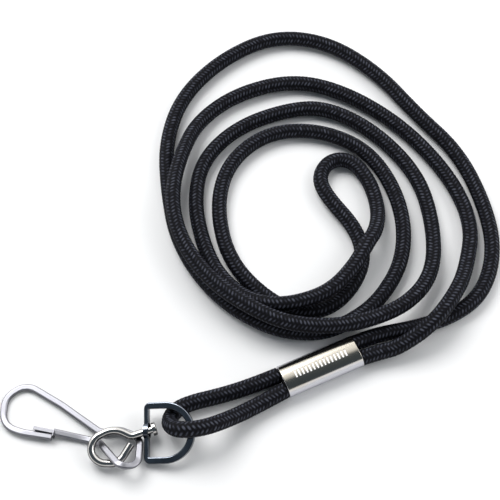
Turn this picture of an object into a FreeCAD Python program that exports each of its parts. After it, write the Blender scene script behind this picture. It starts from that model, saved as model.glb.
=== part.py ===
import FreeCAD, Part
import math
import os
import Sketcher
from FreeCAD import Placement, Rotation, Vector

# Round-cord neck lanyard, lying on a flat surface. One braided cord makes the large neck loop
# and a small hook loop; a flattened metal sleeve crimps both. The hook loop holds a D-ring,
# whose bar carries a swivel eye, and the eye carries a bent-wire hook with a springy gate.
#
# Millimetres. +Z is up. The origin is under the middle of the crimp sleeve, on the surface.
# The hook end points to -X and the neck loop spreads to +Y.

SIZES = {
    "cord_diameter": 4.8,
    "lane_width": 4.4,
    "lane_height": 4.7,
    "end_gap": 0.3,
    "sleeve_length": 24.0,
    "sleeve_width": 10.0,
    "sleeve_height": 5.8,
    "sleeve_wall": 0.5,
    "sleeve_angle": 24.0,
    "sleeve_edge_round": 0.2,
    "tick_count": 15.0,
    "tick_pitch": 1.15,
    "tick_width": 0.5,
    "tick_length": 2.2,
    "tick_depth": 0.15,
    "ring_width": 17.4,
    "ring_depth": 14.8,
    "ring_strip": 1.9,
    "ring_bar": 1.4,
    "ring_height": 2.0,
    "ring_corner": 1.8,
    "ring_edge_round": 0.35,
    "boss_radius": 2.2,
    "boss_offset": 0.6,
    "boss_hole_radius": 1.58,
    "eye_wire": 2.2,
    "shank_end": 13.6,
    "head_radius": 1.95,
    "head_height": 1.2,
    "head_round": 0.4,
    "hook_wire_width": 2.0,
    "hook_wire_height": 1.3,
    "hook_wire_round": 0.5,
    "catch_length": 5.8,
    "catch_wall": 0.5,
    "catch_back": 0.25,
    "catch_lip": 1.2,
    "catch_top_lip": 0.45,
    "catch_web": 0.3,
}

# Places of the metal parts: where each one's own origin sits and how it is turned.
RING_PLACE = Vector(-50.05, -20.35, 3.3)
RING_TURN = Rotation(-1.5, -10.5, 14.5)
EYE_PLACE = Vector(-60.3, -23.3, 3.4)
EYE_TURN = Rotation(19, -0.3, 9.5)

# The neck loop from the sleeve's upper lane round to its lower lane: first the strand that lies
# on the surface all the way, then the inner bend, then the strand that rides over the first.
NECK_ROUTE = [
    (10.1, 7.2, 2.9), (12.8, 8.4, 2.9), (18.6, 10.5, 2.4), (28.5, 12.4, 2.4),
    (40.5, 16.2, 2.4), (50.2, 23.8, 2.4), (55, 38, 2.4),
    (53.4, 54, 2.4), (46.5, 73.5, 2.4), (34, 88, 2.4), (22, 104.5, 2.4),
    (5.5, 117, 2.4), (-13, 119.3, 2.4), (-30.5, 109.5, 2.4), (-43.3, 94.5, 2.4),
    (-48, 77, 2.4), (-46.7, 59, 2.4), (-43, 40.5, 2.4), (-31.7, 23.3, 2.4), (-16, 12.6, 2.4),
    (-2, 10.2, 2.4), (8, 13.4, 2.4), (18.6, 21, 2.4), (27.2, 36, 2.4), (27.2, 55, 2.4),
    (18.5, 73.5, 2.4), (3, 81.8, 2.4), (-14.3, 81.3, 2.4), (-27.3, 70.2, 2.4),
    (-31.3, 54, 2.4), (-27.3, 34.5, 2.4), (-14.6, 20.7, 2.4), (-4, 17, 2.4), (4.6, 19.4, 2.4),
    (11.3, 26.8, 2.4), (14.7, 36, 2.4), (12.3, 46, 2.4), (4, 56.8, 2.4), (1.2, 63.5, 2.4),
    (3.9, 69.4, 2.4), (9, 71.2, 2.4), (13.9, 68.6, 2.4), (18, 61.3, 2.4), (19.8, 52, 2.4),
    (18.4, 43.8, 5.5), (15.2, 38.3, 7.4), (10.8, 30.3, 7.4), (3.5, 22.3, 7.3),
    (-6.5, 18.4, 7.4), (-15, 17.9, 7.1), (-23, 21.9, 3.9), (-30.6, 30, 2.6), (-35.4, 41, 2.4),
    (-38.2, 55, 2.4), (-36.2, 70, 2.4), (-25.6, 82.3, 2.4), (-10, 89.3, 2.4), (4, 90.9, 2.4),
    (20, 81.5, 2.4), (33, 65, 2.4), (36.7, 47, 2.4), (35.3, 30, 4.2), (27, 18.7, 6.6),
    (14.3, 12.7, 7.3), (2, 10.7, 7.4), (-10, 11.7, 8.2), (-19.5, 15.8, 8.9),
    (-29.5, 22.9, 8), (-37.8, 32.5, 7.3), (-43.3, 43.5, 7.3), (-45.2, 56, 7.3),
    (-42.7, 71, 5.5), (-37.5, 85.5, 2.4), (-24.3, 96.3, 2.4), (-5.5, 101.5, 2.4),
    (12, 96, 2.4), (29.7, 82.7, 2.4), (43.2, 64.5, 2.4), (49, 47, 2.4), (45.2, 30.5, 4),
    (40.4, 20.8, 7.4), (33, 11.4, 7.5), (23.4, 5.7, 3.7), (17.3, 4.4, 2.9), (12.3, 2.7, 2.9),
]  # fmt: skip

# The hook loop: out of the upper lane, under the D-ring's far arm, round the fold, over the
# ring's arc and back to the lower lane.
HOOK_LOOP_ROUTE = [
    (-12.3, -2.7, 2.9), (-20, -5.8, 2.4), (-29, -8.8, 2.4), (-37.3, -10.8, 2.4),
    (-42.5, -13.2, 2.4), (-44.2, -17.9, 4.2), (-40.5, -21.5, 9.7), (-33.3, -20.7, 9.6),
    (-25.3, -15.9, 4.4), (-18, -11.5, 2.4), (-10.2, -7.3, 2.9),
]  # fmt: skip

# The swivel eye's wire in its own plane, from the bend beside the shank round to the cut end.
# Each corner of the route has the radius that the wire is bent to there.
EYE_ROUTE = [
    (6.2, 0, 1.8), (2.15, 3.8, 6.3), (-4.4, 2.85, 4.0), (-6.25, -0.9, 3.7),
    (-4.7, -4.4, 4.3), (0.55, -6.2, 4.3), (5.4, -2.1, 0),
]  # fmt: skip

# The hook's flattened wire with its bends: tip, wide bend, fixed leg, then the small loop that
# links with the swivel eye. It runs under the shank and up over the eye's near side.
HOOK_ROUTE = [
    (-77.5, -20.95, 1.5, 0), (-86.2, -19.5, 1.3, 9), (-92.3, -17.2, 0.65, 5.6),
    (-92.1, -8.7, 0.65, 5.8), (-86.2, -4.75, 0.65, 5.4), (-75.5, -11.1, 0.75, 30),
    (-63.5, -19.6, 1.0, 3.6), (-58.4, -18.6, 1.2, 6), (-52.1, -21.1, 1.4, 3.4),
    (-52.1, -30.0, 4.4, 3.3), (-57.0, -30.6, 6.0, 2.8), (-63.9, -22.3, 1.2, 2.5),
    (-65.5, -21.92, 1.0, 0),
]  # fmt: skip
# The free leg, from its flexing root beside the small loop to the catch.
GATE_ROUTE = [(-65.8, -21.84, 0.95, 0), (-68.0, -21.3, 0.7, 20), (-77, -19.45, 1.5, 0)]

# Each arc of a cord takes this share of the shorter run beside it.
RUN_SHARE = 0.45
LANE_CLEARANCE = 0.02
CATCH_CLEARANCE = 0.3
# An edge thinner than this in some direction lies flat in that direction.
FLAT = 0.001
# How far a cord's volume may be from its section times its length.
VOLUME_TOLERANCE = 0.005


def make_sheet(doc):
    sheet = doc.addObject("Spreadsheet::Sheet", "Sizes")
    for row, (name, number) in enumerate(SIZES.items(), start=1):
        sheet.set(f"A{row}", name)
        sheet.set(f"B{row}", str(number))
        sheet.setAlias(f"B{row}", name)
    doc.recompute()
    return sheet


def add_body(doc, label, place=None):
    body = doc.addObject("PartDesign::Body", label)
    body.Label = label
    if place is not None:
        body.Placement = place
    return body


def add_sketch(body, name, role, offset=0.0):
    """A sketch on one of the body's own planes, moved along that plane's normal."""
    plane = next(item for item in body.Origin.OriginFeatures if item.Role == role)
    sketch = body.newObject("Sketcher::SketchObject", name)
    sketch.AttachmentSupport = [(plane, "")]
    sketch.MapMode = "FlatFace"
    sketch.AttachmentOffset = Placement(Vector(0, 0, offset), Rotation())
    return sketch


def bind(sketch, constraint, name, expression):
    """Add a sized constraint and drive it from the sheet."""
    sketch.addConstraint(constraint)
    sketch.renameConstraint(sketch.ConstraintCount - 1, name)
    sketch.setExpression(f"Constraints.{name}", expression)


def add_circle(sketch, name, radius, expression, centre=Vector()):
    normal = Vector(0, 0, 1)
    index = sketch.addGeometry(Part.Circle(centre, normal, radius), False)
    bind(sketch, Sketcher.Constraint("Radius", index, radius), name, expression)
    return index


def add_stadium(sketch, name, half_flat, radius, flat_expression, radius_expression):
    """Two half circles joined by flats, centred on the sketch's origin."""
    up, down = Vector(0, radius, 0), Vector(0, -radius, 0)
    right, left = Vector(half_flat, 0, 0), Vector(-half_flat, 0, 0)
    normal = Vector(0, 0, 1)
    quarter = math.pi / 2
    top = sketch.addGeometry(Part.LineSegment(right + up, left + up), False)
    circle = Part.Circle(left, normal, radius)
    west = sketch.addGeometry(Part.ArcOfCircle(circle, quarter, 3 * quarter), False)
    bottom = sketch.addGeometry(Part.LineSegment(left + down, right + down), False)
    circle = Part.Circle(right, normal, radius)
    east = sketch.addGeometry(Part.ArcOfCircle(circle, -quarter, quarter), False)
    for first, second in ((top, west), (west, bottom), (bottom, east), (east, top)):
        sketch.addConstraint(Sketcher.Constraint("Tangent", first, 2, second, 1))
    sketch.addConstraint(Sketcher.Constraint("Horizontal", top))
    sketch.addConstraint(Sketcher.Constraint("Symmetric", west, 3, east, 3, -1, 1))
    width = Sketcher.Constraint("DistanceX", west, 3, east, 3, 2 * half_flat)
    bind(sketch, width, name + "_flat", flat_expression)
    bind(sketch, Sketcher.Constraint("Radius", west, radius), name + "_round", radius_expression)


def add_pad(body, name, sketch, expression, reversed_way=False, both_ways=True):
    pad = body.newObject("PartDesign::Pad", name)
    pad.Profile = sketch
    pad.Midplane = both_ways
    pad.Reversed = reversed_way
    pad.setExpression("Length", expression)
    return pad


def cut(body, name, sketch, expression, both_ways=True):
    """A pocket, checked to take material away."""
    body.Document.recompute()
    before = body.Shape.Volume
    pocket = body.newObject("PartDesign::Pocket", name)
    pocket.Profile = sketch
    pocket.Midplane = both_ways
    pocket.setExpression("Length", expression)
    body.Document.recompute()
    if not body.Shape.Volume < before:
        raise RuntimeError(f"{name} cuts nothing")
    return pocket


def make_sleeve(doc, sizes):
    """The crimp: a tube squeezed to a stadium, with a row of press marks where lettering is."""
    height = sizes.get("sleeve_height")
    turn = Rotation(Vector(0, 0, 1), sizes.get("sleeve_angle"))
    body = add_body(doc, "crimp_sleeve", Placement(Vector(0, 0, height / 2), turn))
    section = add_sketch(body, "sleeve_section", "YZ_Plane")
    outer = height / 2
    inner = outer - sizes.get("sleeve_wall")
    half_flat = (sizes.get("sleeve_width") - height) / 2
    flat = "Sizes.sleeve_width - Sizes.sleeve_height"
    outer_round = "Sizes.sleeve_height / 2"
    inner_round = "Sizes.sleeve_height / 2 - Sizes.sleeve_wall"
    add_stadium(section, "outer", half_flat, outer, flat, outer_round)
    add_stadium(section, "inner", half_flat, inner, flat, inner_round)
    add_pad(body, "sleeve_tube", section, "Sizes.sleeve_length")
    doc.recompute()
    tube = doc.getObject("sleeve_tube")
    edges = [f"Edge{i}" for i, edge in enumerate(tube.Shape.Edges, start=1) if is_rim(edge)]
    rim = body.newObject("PartDesign::Fillet", "sleeve_rims")
    rim.Base = (tube, edges)
    rim.setExpression("Radius", "Sizes.sleeve_edge_round")
    marks = add_sketch(body, "press_mark", "XY_Plane", outer)
    marks.AttachmentOffset = Placement(
        Vector(-sizes.get("tick_pitch") * (sizes.get("tick_count") - 1) / 2, 0, outer),
        Rotation(),
    )
    half_length = sizes.get("tick_length") / 2
    half_width = sizes.get("tick_width") / 2
    corners = [
        Vector(-half_width, -half_length, 0), Vector(half_width, -half_length, 0),
        Vector(half_width, half_length, 0), Vector(-half_width, half_length, 0),
    ]  # fmt: skip
    add_loop(marks, corners)
    pocket = cut(body, "press_pocket", marks, "Sizes.tick_depth", both_ways=False)
    row = body.newObject("PartDesign::LinearPattern", "press_marks")
    row.Originals = [pocket]
    axis = next(item for item in body.Origin.OriginFeatures if item.Role == "X_Axis")
    row.Direction = (axis, [""])
    row.setExpression("Length", "Sizes.tick_pitch * (Sizes.tick_count - 1)")
    row.setExpression("Occurrences", "Sizes.tick_count")
    body.Tip = row
    return body


def is_rim(edge):
    """True for an edge that runs round one of the sleeve's end faces."""
    box = edge.BoundBox
    return box.XLength < FLAT


def add_loop(sketch, corners):
    """A closed outline of straight lines."""
    count = len(corners)
    lines = [
        sketch.addGeometry(Part.LineSegment(corners[i], corners[(i + 1) % count]), False)
        for i in range(count)
    ]
    for i in range(count):
        following = lines[(i + 1) % count]
        sketch.addConstraint(Sketcher.Constraint("Coincident", lines[i], 2, following, 1))


def add_d_outline(sketch, name, left, arc_centre, radius, expressions):
    """A straight side at x = left, closed by a half circle about (arc_centre, 0)."""
    quarter = math.pi / 2
    low, high = Vector(left, -radius, 0), Vector(left, radius, 0)
    centre = Vector(arc_centre, 0, 0)
    up = Vector(0, radius, 0)
    side = sketch.addGeometry(Part.LineSegment(high, low), False)
    near = sketch.addGeometry(Part.LineSegment(low, centre - up), False)
    circle = Part.Circle(centre, Vector(0, 0, 1), radius)
    bow = sketch.addGeometry(Part.ArcOfCircle(circle, -quarter, quarter), False)
    far = sketch.addGeometry(Part.LineSegment(centre + up, high), False)
    sketch.addConstraint(Sketcher.Constraint("Coincident", side, 2, near, 1))
    sketch.addConstraint(Sketcher.Constraint("Tangent", near, 2, bow, 1))
    sketch.addConstraint(Sketcher.Constraint("Tangent", bow, 2, far, 1))
    sketch.addConstraint(Sketcher.Constraint("Coincident", far, 2, side, 1))
    sketch.addConstraint(Sketcher.Constraint("Vertical", side))
    sketch.addConstraint(Sketcher.Constraint("Horizontal", near))
    sketch.addConstraint(Sketcher.Constraint("Horizontal", far))
    sketch.addConstraint(Sketcher.Constraint("PointOnObject", bow, 3, -1))
    reach = Sketcher.Constraint("DistanceX", side, 2, bow, 3, arc_centre - left)
    place = Sketcher.Constraint("DistanceX", -1, 1, bow, 3, arc_centre)
    bind(sketch, Sketcher.Constraint("Radius", bow, radius), name + "_radius", expressions[0])
    bind(sketch, reach, name + "_reach", expressions[1])
    bind(sketch, place, name + "_place", expressions[2])


def make_d_ring(doc, sizes):
    """A D of flat strip on edge; its straight bar swells to an eye for the swivel's shank."""
    body = add_body(doc, "d_ring", Placement(RING_PLACE, RING_TURN))
    strip = sizes.get("ring_strip")
    bar = sizes.get("ring_bar")
    radius = sizes.get("ring_width") / 2
    left = -bar / 2
    centre = sizes.get("ring_depth") - bar / 2 - radius
    outline = add_sketch(body, "ring_outline", "XY_Plane")
    place = "Sizes.ring_depth - Sizes.ring_bar / 2 - Sizes.ring_width / 2"
    outer = ["Sizes.ring_width / 2", "Sizes.ring_depth - Sizes.ring_width / 2", place]
    inner = [
        "Sizes.ring_width / 2 - Sizes.ring_strip",
        "Sizes.ring_depth - Sizes.ring_width / 2 - Sizes.ring_bar",
        place,
    ]
    add_d_outline(outline, "outer", left, centre, radius, outer)
    add_d_outline(outline, "inner", left + bar, centre, radius - strip, inner)
    pad = add_pad(body, "ring_strip", outline, "Sizes.ring_height")
    doc.recompute()
    corners = fillet(body, "ring_corners", pad, is_outer_corner, "Sizes.ring_corner")
    doc.recompute()
    fillet(body, "ring_edges", corners, is_flat_edge, "Sizes.ring_edge_round")
    boss_offset = sizes.get("boss_offset")
    boss = add_sketch(body, "boss_outline", "YZ_Plane")
    middle = Vector(boss_offset, 0, 0)
    boss_radius = sizes.get("boss_radius")
    circle = add_circle(boss, "boss", boss_radius, "Sizes.boss_radius", middle)
    centre_circle(boss, circle, "boss", boss_offset)
    add_pad(body, "boss_pad", boss, "Sizes.ring_bar")
    hole = add_sketch(body, "hole_outline", "YZ_Plane")
    hole_radius = sizes.get("boss_hole_radius")
    circle = add_circle(hole, "hole", hole_radius, "Sizes.boss_hole_radius", middle)
    centre_circle(hole, circle, "hole", boss_offset)
    cut(body, "boss_hole", hole, "Sizes.ring_bar * 2")
    return body


def centre_circle(sketch, circle, name, offset):
    """Hold the circle on the sketch's x axis at the boss's offset."""
    sketch.addConstraint(Sketcher.Constraint("PointOnObject", circle, 3, -1))
    place = Sketcher.Constraint("DistanceX", -1, 1, circle, 3, offset)
    bind(sketch, place, name + "_offset", "Sizes.boss_offset")


def fillet(body, name, base, wanted, expression):
    edges = [f"Edge{i}" for i, edge in enumerate(base.Shape.Edges, start=1) if wanted(edge)]
    feature = body.newObject("PartDesign::Fillet", name)
    feature.Base = (base, edges)
    feature.setExpression("Radius", expression)
    return feature


def is_outer_corner(edge):
    """True for the strip's two upright edges at the outside of the bar's ends."""
    box = edge.BoundBox
    upright = box.XLength + box.YLength < FLAT
    return upright and box.XMin < 0


def is_flat_edge(edge):
    """True for an edge in the strip's upper or lower face."""
    return edge.BoundBox.ZLength < FLAT


def make_swivel_eye(doc, sizes):
    """One round wire: a headed shank, then a ring whose cut end closes against the shank."""
    body = add_body(doc, "swivel_eye", Placement(EYE_PLACE, EYE_TURN))
    path = add_sketch(body, "eye_path", "XY_Plane")
    shank_end = sizes.get("shank_end")
    corners = [Vector(shank_end, 0, 0)] + [Vector(x, y, 0) for x, y, _ in EYE_ROUTE]
    radii = [radius for _, _, radius in EYE_ROUTE[:-1]]
    for piece in path_pieces(corners, radii):
        path.addGeometry(piece, False)
    section = add_sketch(body, "wire_section", "YZ_Plane", shank_end)
    add_circle(section, "wire", sizes.get("eye_wire") / 2, "Sizes.eye_wire / 2")
    doc.recompute()
    wire = body.newObject("PartDesign::AdditivePipe", "eye_wire")
    wire.Profile = section
    wire.Spine = (path, [])
    doc.recompute()
    head = add_sketch(body, "head_outline", "YZ_Plane", shank_end)
    add_circle(head, "head", sizes.get("head_radius"), "Sizes.head_radius")
    expression = "Sizes.head_height"
    head_pad = add_pad(body, "head", head, expression, reversed_way=True, both_ways=False)
    doc.recompute()
    fillet(body, "head_round", head_pad, is_head_rim(sizes), "Sizes.head_round")
    return body


def is_head_rim(sizes):
    """A test that is true for the rim of the shank's head on its outer face."""
    radius = sizes.get("head_radius")
    end = sizes.get("shank_end")

    def wanted(edge):
        box = edge.BoundBox
        at_end = box.XLength < FLAT and abs(box.XMax - end) < FLAT
        return at_end and abs(box.YMax - radius) < FLAT

    return wanted


def arc_at(before, corner, after, radius):
    """The tangent arc of this radius at a corner, as its start, middle and end points."""
    back = (before - corner).normalize()
    ahead = (after - corner).normalize()
    turn = math.pi - back.getAngle(ahead)
    reach = radius * math.tan(turn / 2)
    inward = (back + ahead).normalize()
    centre = corner + inward * (radius / math.cos(turn / 2))
    return corner + back * reach, centre - inward * radius, corner + ahead * reach


def path_pieces(corners, radii):
    """Straight runs joined by tangent arcs: one radius for each inner corner."""
    pieces = []
    place = corners[0]
    for i, radius in enumerate(radii, start=1):
        start, middle, end = arc_at(corners[i - 1], corners[i], corners[i + 1], radius)
        pieces.append(Part.LineSegment(place, start))
        pieces.append(Part.Arc(start, middle, end))
        place = end
    pieces.append(Part.LineSegment(place, corners[-1]))
    return pieces


def bent_path(corners, radii):
    return Part.Wire([piece.toShape() for piece in path_pieces(corners, radii)])


def cord_radii(route):
    """Arcs as large as the two runs at each point allow."""
    radii = []
    for before, corner, after in zip(route, route[1:], route[2:]):
        turn = math.pi - (before - corner).getAngle(after - corner)
        run = min((corner - before).Length, (after - corner).Length)
        radii.append(RUN_SHARE * run / math.tan(turn / 2))
    return radii


def add_shape(doc, label, shape, place=None):
    item = doc.addObject("Part::Feature", label)
    item.Label = label
    item.Shape = shape
    if place is not None:
        item.Placement = place
    return item


def make_cord(doc, label, points, diameter):
    """A round tube along the route; its volume must be its section times its length."""
    route = [Vector(*point) for point in points]
    radii = cord_radii(route)
    print(label, "arc radii, mm:", " ".join(f"{radius:.0f}" for radius in radii))
    path = bent_path(route, radii)
    section = Part.Wire(Part.makeCircle(diameter / 2, route[0], route[1] - route[0]))
    shape = path.makePipeShell([section], True, False)
    volume = math.pi * diameter**2 / 4 * path.Length
    print(label, f"length {path.Length:.0f} mm, volume ratio {shape.Volume / volume:.4f}")
    if abs(shape.Volume / volume - 1) > VOLUME_TOLERANCE:
        raise RuntimeError(f"{label}: the tube's volume is wrong")
    return add_shape(doc, label, shape)


def make_crimped_cord(doc, sizes):
    """The squeezed cord in the sleeve: one lane runs through, in the other two cut ends meet."""
    length = sizes.get("sleeve_length")
    lane = sizes.get("lane_width")
    gap = sizes.get("end_gap")
    half_width = lane / 2 - LANE_CLEARANCE
    half_height = sizes.get("lane_height") / 2
    end_length = (length - gap) / 2
    lanes = [
        (-length / 2, lane / 2, length),
        (-length / 2, -lane / 2, end_length),
        (gap / 2, -lane / 2, end_length),
    ]
    solids = []
    for start, side, run in lanes:
        ellipse = Part.Ellipse(Vector(), half_height, half_width)
        face = Part.Face(Part.Wire(ellipse.toShape()))
        face.Placement = Placement(Vector(start, side, 0), Rotation(Vector(0, 1, 0), -90))
        solids.append(face.extrude(Vector(run, 0, 0)))
    turn = Rotation(Vector(0, 0, 1), sizes.get("sleeve_angle"))
    place = Placement(Vector(0, 0, sizes.get("sleeve_height") / 2), turn)
    return add_shape(doc, "crimped_cord", Part.makeCompound(solids), place)


def flat_wire(points, sizes):
    """Flattened wire with rounded edges, bent along a route and kept level."""
    corners = [Vector(*point[:3]) for point in points]
    radii = [point[3] for point in points[1:-1]]
    path = bent_path(corners, radii)
    ahead = (corners[1] - corners[0]).normalize()
    side = Vector(0, 0, 1).cross(ahead).normalize()
    section = rounded_section(corners[0], side, ahead.cross(side), sizes)
    pipe = Part.BRepOffsetAPI.MakePipeShell(path)
    pipe.setBiNormalMode(Vector(0, 0, 1))
    pipe.add(section)
    pipe.build()
    pipe.makeSolid()
    return pipe.shape()


def rounded_section(centre, side, up, sizes):
    """A rectangle with rounded corners, square to the wire."""
    half_width = sizes.get("hook_wire_width") / 2
    half_height = sizes.get("hook_wire_height") / 2
    bend = sizes.get("hook_wire_round")
    signs = ((1, 1), (-1, 1), (-1, -1), (1, -1))
    corners = [centre + side * half_width * x + up * half_height * y for x, y in signs]
    edges = []
    place = corners[-1] + (corners[0] - corners[-1]).normalize() * bend
    for i in range(4):
        start, middle, end = arc_at(corners[i - 1], corners[i], corners[(i + 1) % 4], bend)
        edges.append(Part.LineSegment(place, start).toShape())
        edges.append(Part.Arc(start, middle, end).toShape())
        place = end
    return Part.Wire(edges)


def make_hook(doc, sizes):
    return add_shape(doc, "hook_body", flat_wire(HOOK_ROUTE, sizes))


def make_gate(doc, sizes):
    """The free leg of the hook's wire; its end is pressed to a channel that holds the tip."""
    leg = flat_wire(GATE_ROUTE, sizes)
    root, end = Vector(*GATE_ROUTE[-2][:3]), Vector(*GATE_ROUTE[-1][:3])
    level_end = Vector(end.x, end.y, root.z)
    ahead = (level_end - root).normalize()
    outward = Vector(0, 0, 1).cross(ahead)
    wall = sizes.get("catch_wall")
    web = sizes.get("catch_web")
    lip = sizes.get("catch_lip")
    opening = sizes.get("hook_wire_height") + 2 * CATCH_CLEARANCE
    length = sizes.get("catch_length") + web
    height = opening + 2 * wall
    block = Part.makeBox(length, wall + lip, height)
    channel = block.cut(Part.makeBox(length, lip, opening, Vector(web, wall, wall)))
    top_lip = sizes.get("catch_top_lip")
    above = Part.makeBox(length, lip - top_lip, wall, Vector(web, wall + top_lip, wall + opening))
    channel = channel.cut(above)
    corner = end - ahead * web - outward * sizes.get("catch_back") - Vector(0, 0, height / 2)
    channel.Placement = Placement(corner, Rotation(ahead, outward, Vector(0, 0, 1), "XYZ"))
    return add_shape(doc, "hook_gate", leg.fuse(channel).removeSplitter())


def check(doc):
    """Every object must be sound before anything is written."""
    for item in doc.Objects:
        bad = {"Invalid", "Error"} & set(item.State)
        if bad:
            raise RuntimeError(f"{item.Label}: {bad}")


def main():
    doc = FreeCAD.newDocument("lanyard")
    sizes = make_sheet(doc)
    diameter = sizes.get("cord_diameter")
    pieces = [
        make_sleeve(doc, sizes),
        make_crimped_cord(doc, sizes),
        make_cord(doc, "neck_cord", NECK_ROUTE, diameter),
        make_cord(doc, "hook_loop_cord", HOOK_LOOP_ROUTE, diameter),
        make_d_ring(doc, sizes),
        make_swivel_eye(doc, sizes),
        make_hook(doc, sizes),
        make_gate(doc, sizes),
    ]
    doc.recompute()
    check(doc)
    os.makedirs("parts", exist_ok=True)
    for piece in pieces:
        shape = piece.Shape
        if shape.isNull() or not shape.isValid():
            raise RuntimeError(f"{piece.Label}: no valid shape")
        print(piece.Label, f"{shape.Volume:.1f} mm3, {len(shape.Solids)} solid(s)")
        shape.exportStep(f"parts/{piece.Label}.step")


main()
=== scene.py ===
import math

import bpy
import numpy as np
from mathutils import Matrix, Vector


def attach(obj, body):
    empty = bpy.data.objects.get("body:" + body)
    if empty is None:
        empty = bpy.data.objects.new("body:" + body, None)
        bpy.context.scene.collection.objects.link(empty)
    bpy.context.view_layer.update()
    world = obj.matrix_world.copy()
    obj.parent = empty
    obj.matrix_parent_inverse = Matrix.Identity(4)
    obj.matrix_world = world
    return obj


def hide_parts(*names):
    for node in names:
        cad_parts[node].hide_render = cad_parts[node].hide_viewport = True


# A round-cord neck lanyard lying on a surface. Metres, +Z up, origin under the crimp sleeve.
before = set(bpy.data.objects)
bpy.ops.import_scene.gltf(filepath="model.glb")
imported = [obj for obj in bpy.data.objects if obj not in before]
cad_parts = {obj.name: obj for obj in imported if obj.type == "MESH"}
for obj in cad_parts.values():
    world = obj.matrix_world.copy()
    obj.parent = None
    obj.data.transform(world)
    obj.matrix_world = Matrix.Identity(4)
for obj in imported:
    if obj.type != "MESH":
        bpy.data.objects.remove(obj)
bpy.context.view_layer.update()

MM = 0.001
CORD_DIAMETER = 4.8 * MM
CORD_RADIUS = CORD_DIAMETER / 2

# The neck loop's route, in metres, from the sleeve's upper lane round to its lower lane.
NECK_ROUTE = [
    (0.0101, 0.0072, 0.0029), (0.0128, 0.0084, 0.0029), (0.0186, 0.0105, 0.0024),
    (0.0285, 0.0124, 0.0024), (0.0405, 0.0162, 0.0024), (0.0502, 0.0238, 0.0024),
    (0.055, 0.038, 0.0024), (0.0534, 0.054, 0.0024), (0.0465, 0.0735, 0.0024),
    (0.034, 0.088, 0.0024), (0.022, 0.1045, 0.0024), (0.0055, 0.117, 0.0024),
    (-0.013, 0.1193, 0.0024), (-0.0305, 0.1095, 0.0024), (-0.0433, 0.0945, 0.0024),
    (-0.048, 0.077, 0.0024), (-0.0467, 0.059, 0.0024), (-0.043, 0.0405, 0.0024),
    (-0.0317, 0.0233, 0.0024), (-0.016, 0.0126, 0.0024), (-0.002, 0.0102, 0.0024),
    (0.008, 0.0134, 0.0024), (0.0186, 0.021, 0.0024), (0.0272, 0.036, 0.0024),
    (0.0272, 0.055, 0.0024), (0.0185, 0.0735, 0.0024), (0.003, 0.0818, 0.0024),
    (-0.0143, 0.0813, 0.0024), (-0.0273, 0.0702, 0.0024), (-0.0313, 0.054, 0.0024),
    (-0.0273, 0.0345, 0.0024), (-0.0146, 0.0207, 0.0024), (-0.004, 0.017, 0.0024),
    (0.0046, 0.0194, 0.0024), (0.0113, 0.0268, 0.0024), (0.0147, 0.036, 0.0024),
    (0.0123, 0.046, 0.0024), (0.004, 0.0568, 0.0024), (0.0012, 0.0635, 0.0024),
    (0.0039, 0.0694, 0.0024), (0.009, 0.0712, 0.0024), (0.0139, 0.0686, 0.0024),
    (0.018, 0.0613, 0.0024), (0.0198, 0.052, 0.0024), (0.0184, 0.0438, 0.0055),
    (0.0152, 0.0383, 0.0074), (0.0108, 0.0303, 0.0074), (0.0035, 0.0223, 0.0073),
    (-0.0065, 0.0184, 0.0074), (-0.015, 0.0179, 0.0071), (-0.023, 0.0219, 0.0039),
    (-0.0306, 0.03, 0.0026), (-0.0354, 0.041, 0.0024), (-0.0382, 0.055, 0.0024),
    (-0.0362, 0.07, 0.0024), (-0.0256, 0.0823, 0.0024), (-0.01, 0.0893, 0.0024),
    (0.004, 0.0909, 0.0024), (0.02, 0.0815, 0.0024), (0.033, 0.065, 0.0024),
    (0.0367, 0.047, 0.0024), (0.0353, 0.03, 0.0042), (0.027, 0.0187, 0.0066),
    (0.0143, 0.0127, 0.0073), (0.002, 0.0107, 0.0074), (-0.01, 0.0117, 0.0082),
    (-0.0195, 0.0158, 0.0089), (-0.0295, 0.0229, 0.008), (-0.0378, 0.0325, 0.0073),
    (-0.0433, 0.0435, 0.0073), (-0.0452, 0.056, 0.0073), (-0.0427, 0.071, 0.0055),
    (-0.0375, 0.0855, 0.0024), (-0.0243, 0.0963, 0.0024), (-0.0055, 0.1015, 0.0024),
    (0.012, 0.096, 0.0024), (0.0297, 0.0827, 0.0024), (0.0432, 0.0645, 0.0024),
    (0.049, 0.047, 0.0024), (0.0452, 0.0305, 0.004), (0.0404, 0.0208, 0.0074),
    (0.033, 0.0114, 0.0075), (0.0234, 0.0057, 0.0037), (0.0173, 0.0044, 0.0029),
    (0.0123, 0.0027, 0.0029),
]  # fmt: skip

# The hook loop's route, in metres: under the D-ring's far arm, round the fold and back over it.
HOOK_LOOP_ROUTE = [
    (-0.0123, -0.0027, 0.0029), (-0.02, -0.0058, 0.0024), (-0.029, -0.0088, 0.0024),
    (-0.0373, -0.0108, 0.0024), (-0.0425, -0.0132, 0.0024), (-0.0442, -0.0179, 0.0042),
    (-0.0405, -0.0215, 0.0097), (-0.0333, -0.0207, 0.0096), (-0.0253, -0.0159, 0.0044),
    (-0.018, -0.0115, 0.0024), (-0.0102, -0.0073, 0.0029),
]  # fmt: skip

# Braid: the carriers in each direction, the advance of one strand width along the cord, and the
# height of the strands.
CARRIERS = 8
STRAND_ADVANCE = 1.15 * MM
STRAND_RELIEF = 0.18 * MM
# A strand passes over two others and under two, so the weave repeats every four cells.
WEAVE_REPEAT = 4
WEAVE_WAVE = 2 * math.pi / WEAVE_REPEAT
# How much of a strand's height, and of its painted highlight, comes from the crest halfway
# along where it shows.
CREST_RELIEF = 0.4
CREST_HIGHLIGHT = 0.75
# The tube's mesh, and how finely the centreline is read.
STEPS_AROUND = 32
STEP_ALONG = 0.46 * MM
ROUTE_RESOLUTION = 24
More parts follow.
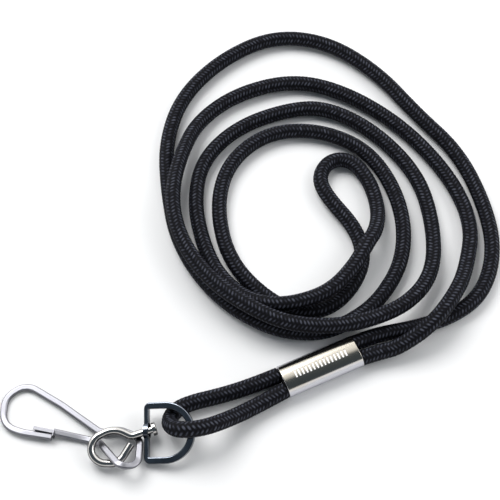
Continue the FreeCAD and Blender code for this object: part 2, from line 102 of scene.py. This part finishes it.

# How the braid's colour runs from painted shade in the gaps between strands to a painted
# highlight on their crowns.
BRAID_STOPS = [
    (0.14, (0.001, 0.001, 0.002)),
    (0.37, (0.006, 0.0065, 0.011)),
    (0.66, (0.06, 0.065, 0.085)),
]  # fmt: skip
# Noise on the cord: patches with more or less painted highlight, and single fibres. The scales are
# in strand widths, the factors are the least and the most, and a bump is a strength and a depth.
PATCH_SCALE = 0.9
PATCH_FACTORS = (0.05, 1.15)
FIBRE_SCALE = 9.0
FIBRE_FACTORS = (0.55, 1.45)
FIBRE_BUMP = (0.4, 0.08 * MM)
# The cord in the sleeve has plain grain instead, its scale per metre.
SQUEEZED_STOPS = [(0.3, (0.005, 0.005, 0.006)), (0.8, (0.03, 0.03, 0.034))]
SQUEEZED_SCALE = 2200.0
SQUEEZED_BUMP = (0.6, 0.2 * MM)

# The sleeve's turn about Z. Its flat top is shaded as faintly crowned: the crown's fall per square
# of the distance across the sleeve, per metre.
SLEEVE_ANGLE = math.radians(24.0)
SLEEVE_CROWN = 48.0
SLEEVE_HALF_FLAT = 2.1 * MM
# Where the frosted floors of its press marks lie, and how they differ from the polish.
MARK_HALF_LENGTH = 1.08 * MM
MARK_LOW = 5.6 * MM
MARK_HIGH = 5.7 * MM
FROSTED_COLOR = (0.98, 0.97, 0.95)
FROSTED_ROUGHNESS = 0.5

# Plated metal: how far clouding shifts the painted light and shade, the spread of roughness
# where it is worn, how much finer that wear is than the clouding, and its bump.
CLOUDING = 0.3
WEAR = 0.1
WEAR_RATIO = 6.0
WEAR_BUMP = (0.02, 0.1 * MM)


# ---------------------------------------------------------------- materials


class Nodes:
    """A small helper that builds the node tree of one material or world."""

    def __init__(self, owner, shader):
        owner.use_nodes = True
        self.owner = owner
        self.tree = owner.node_tree
        self.shader = self.tree.nodes[shader]

    def add(self, kind, **settings):
        node = self.tree.nodes.new(kind)
        for key, setting in settings.items():
            setattr(node, key, setting)
        return node

    def link(self, source, target):
        self.tree.links.new(source, target)

    def math(self, operation, *numbers):
        node = self.add("ShaderNodeMath", operation=operation)
        for socket, number in zip(node.inputs, numbers):
            if isinstance(number, (int, float)):
                socket.default_value = number
            else:
                self.link(number, socket)
        return node.outputs[0]

    def split(self, vector):
        node = self.add("ShaderNodeSeparateXYZ")
        self.link(vector, node.inputs[0])
        return node.outputs["X"], node.outputs["Y"], node.outputs["Z"]

    def choose(self, switch, one, zero):
        """The first number where the switch is 1 and the second where it is 0."""
        return self.math("MULTIPLY_ADD", self.math("SUBTRACT", one, zero), switch, zero)

    def between(self, number, low, high):
        """1 where the number lies between two limits, 0 elsewhere."""
        above = self.math("GREATER_THAN", number, low)
        return self.math("MULTIPLY", above, self.math("LESS_THAN", number, high))

    def vary(self, share, low, high):
        """A number that runs from one limit to the other as the share runs from 0 to 1."""
        return self.math("MULTIPLY_ADD", share, high - low, low)

    def noise(self, place, scale, detail=3.0):
        node = self.add("ShaderNodeTexNoise")
        node.inputs["Scale"].default_value = scale
        node.inputs["Detail"].default_value = detail
        self.link(place, node.inputs["Vector"])
        return node.outputs["Fac"]

    def span(self, number, low, high):
        """0 to 1 as the number runs between two limits."""
        node = self.add("ShaderNodeMapRange")
        node.inputs["From Min"].default_value = low
        node.inputs["From Max"].default_value = high
        self.link(number, node.inputs["Value"])
        return node.outputs["Result"]

    def mix(self, factor, first, second):
        """A mix of two colours, each one an output or three numbers."""
        node = self.add("ShaderNodeMixRGB")
        self.link(factor, node.inputs["Fac"])
        for socket, color in ((node.inputs["Color1"], first), (node.inputs["Color2"], second)):
            if isinstance(color, tuple):
                socket.default_value = (*color, 1.0)
            else:
                self.link(color, socket)
        return node.outputs["Color"]

    def ramp(self, factor, stops):
        """A colour from a row of stops, each a place from 0 to 1 and a colour."""
        node = self.add("ShaderNodeValToRGB")
        while len(node.color_ramp.elements) < len(stops):
            node.color_ramp.elements.new(1.0)
        for element, (place, color) in zip(node.color_ramp.elements, stops):
            element.position = place
            element.color = (*color, 1.0)
        self.link(factor, node.inputs["Fac"])
        return node.outputs["Color"]

    def bump(self, height, strength, distance, below=None):
        node = self.add("ShaderNodeBump")
        node.inputs["Strength"].default_value = strength
        node.inputs["Distance"].default_value = distance
        self.link(height, node.inputs["Height"])
        if below is not None:
            self.link(below, node.inputs["Normal"])
        return node.outputs["Normal"]

    def set(self, **sockets):
        for name, value in sockets.items():
            self.shader.inputs[name.replace("_", " ")].default_value = value

    def feeds(self, name):
        """The output that drives one of the shader's sockets."""
        return self.shader.inputs[name].links[0].from_socket

    def drive(self, **sockets):
        for name, output in sockets.items():
            self.link(output, self.shader.inputs[name.replace("_", " ")])


def surface(name):
    """The node tree of a new material."""
    return Nodes(bpy.data.materials.new(name), "Principled BSDF")


def coordinates(nodes, kind):
    return nodes.add("ShaderNodeTexCoord").outputs[kind]


def braid_crown(nodes, place):
    """Painted highlight, 0 to 1, on the top strand, falling to painted shade toward the gaps; the
    same weave that the mesh is shaped by.
    """
    around, along, _ = nodes.split(place)
    turned = nodes.math("MULTIPLY", around, CARRIERS)
    right = nodes.math("ADD", turned, along)
    left = nodes.math("SUBTRACT", turned, along)
    right_cell, left_cell = nodes.math("FLOOR", right), nodes.math("FLOOR", left)
    cells = nodes.math("ADD", right_cell, left_cell)
    middles = nodes.math("ADD", cells, 0.5)
    cycle = nodes.math("FRACT", nodes.math("DIVIDE", middles, WEAVE_REPEAT))
    right_over = nodes.math("LESS_THAN", cycle, 0.5)
    across = nodes.choose(right_over, nodes.math("FRACT", right), nodes.math("FRACT", left))
    float_place = nodes.choose(
        right_over, nodes.math("ADD", right_cell, left), nodes.math("ADD", left_cell, right)
    )
    # A strand shows for half of the weave's repeat, so each half has one crest.
    wave = nodes.math("SINE", nodes.math("MULTIPLY", float_place, WEAVE_WAVE))
    lengthways = nodes.math("ABSOLUTE", wave)
    crown = nodes.math("SINE", nodes.math("MULTIPLY", across, math.pi))
    return nodes.math("MULTIPLY", crown, nodes.vary(lengthways, 1.0 - CREST_HIGHLIGHT, 1.0))


def braid_material():
    """Black braid: a painted grey highlight on the strands' crowns, and painted shade in the gaps
    between them.
    """
    nodes = surface("cord_braid")
    place = coordinates(nodes, "UV")
    crown = braid_crown(nodes, place)
    around, along, _ = nodes.split(place)
    strands = nodes.add("ShaderNodeCombineXYZ")
    nodes.link(nodes.math("MULTIPLY", around, CARRIERS), strands.inputs["X"])
    nodes.link(along, strands.inputs["Y"])
    patchy = nodes.noise(strands.outputs[0], PATCH_SCALE)
    fibre = nodes.noise(strands.outputs[0], FIBRE_SCALE, 2.0)
    # Painted highlight on the crowns and painted shade in the gaps, varied at random by the noise.
    crown_highlight = nodes.math("MULTIPLY", crown, nodes.vary(patchy, *PATCH_FACTORS))
    shade = nodes.math("MULTIPLY", crown_highlight, nodes.vary(fibre, *FIBRE_FACTORS))
    nodes.drive(Base_Color=nodes.ramp(shade, BRAID_STOPS))
    nodes.drive(Normal=nodes.bump(fibre, *FIBRE_BUMP))
    nodes.set(Roughness=0.75, Specular_IOR_Level=0.13)
    return nodes.owner


def squeezed_braid_material():
    """The same cord where it is squeezed in the sleeve."""
    nodes = surface("squeezed_braid")
    grain = nodes.noise(coordinates(nodes, "Object"), SQUEEZED_SCALE)
    nodes.drive(Base_Color=nodes.ramp(grain, SQUEEZED_STOPS))
    nodes.drive(Normal=nodes.bump(grain, *SQUEEZED_BUMP))
    nodes.set(Roughness=0.7)
    return nodes.owner


def metal(name, flank, crown, limits, roughness, scale):
    """Node tree of plated metal: painted light on its upper side, painted shade down its flanks.

    The limits say how far up a face points where the painted shade ends and the full painted light
    begins.
    """
    nodes = surface(name)
    place = coordinates(nodes, "Object")
    _, _, upward = nodes.split(coordinates(nodes, "Normal"))
    cloud = nodes.math("SUBTRACT", nodes.noise(place, scale), 0.5)
    # Painted light and shade: the colour runs from the flank's painted shade to the crown's painted
    # light as a face turns up.
    facing_light = nodes.math("MULTIPLY_ADD", cloud, CLOUDING, upward)
    nodes.drive(Base_Color=nodes.ramp(facing_light, [(limits[0], flank), (limits[1], crown)]))
    fine = nodes.noise(place, scale * WEAR_RATIO, 5.0)
    rough = nodes.vary(fine, roughness - WEAR / 2, roughness + WEAR / 2)
    nodes.drive(Roughness=rough, Normal=nodes.bump(fine, *WEAR_BUMP))
    nodes.set(Metallic=1.0)
    return nodes


def sleeve_material():
    """Nickel-plated sleeve; the floors of its press marks are frosted and paler."""
    # Painted reflections: beige on the upward faces from the crown colour, blue-grey down the sides
    # from the flank colour.
    nodes = metal(
        "sleeve_nickel",
        flank=(0.52, 0.52, 0.56),
        crown=(0.47, 0.44, 0.38),
        limits=(0.6, 0.95),
        roughness=0.16,
        scale=260.0,
    )
    x, y, z = nodes.split(coordinates(nodes, "Object"))
    across = nodes.math("MULTIPLY", x, -math.sin(SLEEVE_ANGLE))
    across = nodes.math("MULTIPLY_ADD", y, math.cos(SLEEVE_ANGLE), across)
    aside = nodes.math("ABSOLUTE", across)
    # The fall is a parabola over the flat and goes on straight beyond it.
    on_flat = nodes.math("MINIMUM", aside, SLEEVE_HALF_FLAT)
    beyond = nodes.math("SUBTRACT", nodes.math("MULTIPLY", aside, 2.0), on_flat)
    fall = nodes.math("MULTIPLY", nodes.math("MULTIPLY", on_flat, beyond), -SLEEVE_CROWN)
    nodes.drive(Normal=nodes.bump(fall, 1.0, 1.0, below=nodes.feeds("Normal")))
    in_row = nodes.math("LESS_THAN", aside, MARK_HALF_LENGTH)
    mark = nodes.math("MULTIPLY", in_row, nodes.between(z, MARK_LOW, MARK_HIGH))
    color = nodes.mix(mark, nodes.feeds("Base Color"), FROSTED_COLOR)
    rough = nodes.math("MULTIPLY_ADD", mark, FROSTED_ROUGHNESS, nodes.feeds("Roughness"))
    nodes.drive(Roughness=rough, Base_Color=color)
    return nodes.owner


def give(name, material):
    """The CAD node's own material becomes this one."""
    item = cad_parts[name]
    item.data.materials.clear()
    item.data.materials.append(material)


# ---------------------------------------------------------------- cords


def centreline(name, points):
    """The smooth line of a route, read from its NURBS spline."""
    curve = bpy.data.curves.new(name + "_route", "CURVE")
    curve.dimensions = "3D"
    curve.resolution_u = ROUTE_RESOLUTION
    spline = curve.splines.new("NURBS")
    spline.points.add(len(points) - 1)
    for point, place in zip(spline.points, points):
        point.co = (*place, 1.0)
    spline.order_u = 3
    spline.use_endpoint_u = True
    holder = bpy.data.objects.new(name + "_route", curve)
    line = bpy.data.meshes.new_from_object(holder)
    places = np.array([vertex.co[:] for vertex in line.vertices])
    bpy.data.meshes.remove(line)
    bpy.data.objects.remove(holder)
    bpy.data.curves.remove(curve)
    return places


def even_line(places, step):
    """The same line with points at one even distance."""
    runs = np.linalg.norm(np.diff(places, axis=0), axis=1)
    travelled = np.concatenate([[0.0], np.cumsum(runs)])
    count = int(round(travelled[-1] / step)) + 1
    wanted = np.linspace(0.0, travelled[-1], count)
    columns = [np.interp(wanted, travelled, places[:, axis]) for axis in range(3)]
    return np.stack(columns, axis=1), wanted


def carried_frames(line):
    """A side and an up direction at each point, carried along without twisting."""
    ahead = np.gradient(line, axis=0)
    ahead /= np.linalg.norm(ahead, axis=1)[:, None]
    side = np.cross([0.0, 0.0, 1.0], ahead[0])
    sides = []
    for direction in ahead:
        side = side - direction * side.dot(direction)
        side = side / np.linalg.norm(side)
        sides.append(side)
    sides = np.array(sides)
    return sides, np.cross(ahead, sides)


def braid_relief(around, along):
    """Height, 0 to 1, of a two-over, two-under braid at a turn share and a distance."""
    right = CARRIERS * around + along / STRAND_ADVANCE
    left = CARRIERS * around - along / STRAND_ADVANCE
    right_cell, left_cell = np.floor(right), np.floor(left)
    right_over = (right_cell + left_cell) % WEAVE_REPEAT < WEAVE_REPEAT / 2
    across = np.where(right_over, right - right_cell, left - left_cell)
    float_place = np.where(right_over, right_cell + left, left_cell + right)
    lengthways = np.abs(np.sin(WEAVE_WAVE * float_place))
    crown = np.sqrt(np.sin(math.pi * across))
    return crown * (1.0 - CREST_RELIEF + CREST_RELIEF * lengthways)


def braided_tube(name, line, along):
    """A closed tube round the line, with the braid's strands standing on it."""
    sides, ups = carried_frames(line)
    rows, ring = len(line), STEPS_AROUND
    share = np.arange(ring) / ring
    angle = 2 * math.pi * share
    height = braid_relief(share[None, :], along[:, None])
    radius = CORD_RADIUS - STRAND_RELIEF * (1.0 - height)
    sideways = np.cos(angle)[None, :, None] * sides[:, None, :]
    upwards = np.sin(angle)[None, :, None] * ups[:, None, :]
    outward = sideways + upwards
    places = line[:, None, :] + outward * radius[:, :, None]
    mesh = bpy.data.meshes.new(name)
    vertices = places.reshape(-1, 3)
    row = np.arange(rows - 1)[:, None] * ring
    column = np.arange(ring)[None, :]
    after = (column + 1) % ring
    corners = [row + column, row + ring + column, row + ring + after, row + after]
    quads = np.stack(corners, axis=2).reshape(-1, 4)
    caps = [list(range(ring)), [(rows - 1) * ring + i for i in reversed(range(ring))]]
    mesh.from_pydata(vertices.tolist(), [], quads.tolist() + caps)
    mesh.update()
    item = bpy.data.objects.new(name, mesh)
    bpy.context.scene.collection.objects.link(item)
    braid_places = mesh.uv_layers.new(name="braid").data
    for index in range(len(quads)):
        r, c = divmod(index, ring)
        corners = ((r, c), (r + 1, c), (r + 1, c + 1), (r, c + 1))
        for offset, (down, across) in enumerate(corners):
            place = (across / ring, along[down] / STRAND_ADVANCE)
            braid_places[index * 4 + offset].uv = place
    for polygon in mesh.polygons:
        polygon.use_smooth = len(polygon.vertices) == 4
    return item


def add_cord(name, node, route, material):
    """A free cord in place of its CAD tube, from one mouth of the sleeve back to the other."""
    smooth = centreline(name, route)
    line, along = even_line(smooth, STEP_ALONG)
    item = braided_tube(name, line, along)
    item.data.materials.append(material)
    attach(item, "strap")
    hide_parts(node)


braid = braid_material()
add_cord("neck_loop", "neck_cord", NECK_ROUTE, braid)
add_cord("hook_loop", "hook_loop_cord", HOOK_LOOP_ROUTE, braid)

# ---------------------------------------------------------------- metal

# Each flank colour below is painted shade and each crown colour painted light, placed by how far a
# face points up.
ring_metal = metal(
    "ring_nickel",
    flank=(0.04, 0.045, 0.055),
    crown=(0.3, 0.33, 0.38),
    limits=(0.75, 1.0),
    roughness=0.14,
    scale=300.0,
)
eye_metal = metal(
    "eye_nickel",
    flank=(0.06, 0.06, 0.065),
    crown=(0.6, 0.585, 0.565),
    limits=(0.35, 0.9),
    roughness=0.14,
    scale=300.0,
)
wire_metal = metal(
    "hook_satin",
    flank=(0.14, 0.14, 0.155),
    crown=(0.29, 0.29, 0.315),
    limits=(0.4, 0.95),
    roughness=0.34,
    scale=400.0,
)
give("crimp_sleeve", sleeve_material())
give("d_ring", ring_metal.owner)
give("swivel_eye", eye_metal.owner)
give("hook_body", wire_metal.owner)
give("hook_gate", wire_metal.owner)
give("crimped_cord", squeezed_braid_material())

# ---------------------------------------------------------------- floor, light, camera

# The floor: half its side, and the faint grain on it.
FLOOR_HALF = 1.5
FLOOR_GRAIN_SCALE = 40.0
FLOOR_STOPS = [(0.0, (0.88, 0.88, 0.88)), (1.0, (0.9, 0.9, 0.9))]

# The studio's colour by the angle from overhead, in degrees, toward the camera's side.
SHADE = (0.048, 0.06, 0.072)
STUDIO = [
    (-90, (0.9, 0.9, 0.9)), (-26, (1.0, 1.0, 1.0)), (-18, (0.7, 0.7, 0.7)), (-11, SHADE),
    (58, SHADE), (68, (0.8, 0.8, 0.8)), (90, (0.9, 0.9, 0.9)),
]  # fmt: skip
STUDIO_STRENGTH = 1.5
# Sines of the elevations where the pale walls end and the ceiling's strip is full.
WALL_TOP = 0.3
CEILING_START = 0.42
WALL_COLOR = (0.9, 0.9, 0.9)

# Each lamp's name, place, width and power; both face the middle of the lanyard.
LAMPS = [
    ("key", (-0.35, 0.5, 0.7), 0.6, 5.4),
    ("fill", (0.6, 0.1, 0.5), 0.5, 1.8),
]  # fmt: skip
LAMP_TARGET = (0.0, 0.03, 0.0)

# The camera's tilt is from straight down; its lens and sensor are in millimetres.
CAMERA_PLACE = (-0.02063, -0.11480, 0.31638)
CAMERA_TILT = math.radians(26.0)
CAMERA_LENS = 81.36
CAMERA_SENSOR = 36.0


def add_floor():
    mesh = bpy.data.meshes.new("floor")
    signs = ((-1, -1), (1, -1), (1, 1), (-1, 1))
    corners = [(FLOOR_HALF * x, FLOOR_HALF * y, 0.0) for x, y in signs]
    mesh.from_pydata(corners, [], [range(4)])
    floor = bpy.data.objects.new("floor", mesh)
    bpy.context.scene.collection.objects.link(floor)
    nodes = surface("pale_surface")
    grain = nodes.noise(coordinates(nodes, "Object"), FLOOR_GRAIN_SCALE)
    nodes.drive(Base_Color=nodes.ramp(grain, FLOOR_STOPS))
    nodes.set(Roughness=0.8)
    mesh.materials.append(nodes.owner)


def add_lamp(name, place, width, power):
    lamp = bpy.data.lights.new(name, "AREA")
    lamp.shape = "DISK"
    lamp.size = width
    lamp.energy = power
    item = bpy.data.objects.new(name, lamp)
    item.location = place
    aim = Vector(LAMP_TARGET) - Vector(place)
    item.rotation_euler = aim.to_track_quat("-Z", "Y").to_euler()
    bpy.context.scene.collection.objects.link(item)


def add_world():
    """A pale studio, with a dark strip overhead where the photographer leans in."""
    world = bpy.data.worlds.new("studio")
    nodes = Nodes(world, "Background")
    _, y, z = nodes.split(coordinates(nodes, "Generated"))
    lean = nodes.math("ARCTAN2", nodes.math("MULTIPLY", y, -1.0), z)
    stops = [((degrees + 90) / 180, color) for degrees, color in STUDIO]
    strip = nodes.ramp(nodes.span(lean, -math.pi / 2, math.pi / 2), stops)
    # Near the horizon the studio's walls are pale all round.
    nodes.drive(Color=nodes.mix(nodes.span(z, WALL_TOP, CEILING_START), WALL_COLOR, strip))
    nodes.set(Strength=STUDIO_STRENGTH)
    bpy.context.scene.world = world


def add_camera():
    lens = bpy.data.cameras.new("camera")
    lens.lens = CAMERA_LENS
    lens.sensor_width = CAMERA_SENSOR
    item = bpy.data.objects.new("camera", lens)
    item.location = CAMERA_PLACE
    item.rotation_euler = (CAMERA_TILT, 0.0, 0.0)
    bpy.context.scene.collection.objects.link(item)
    bpy.context.scene.camera = item
    bpy.context.scene.view_settings.view_transform = "Standard"


add_floor()
for row in LAMPS:
    add_lamp(*row)
add_world()
add_camera()
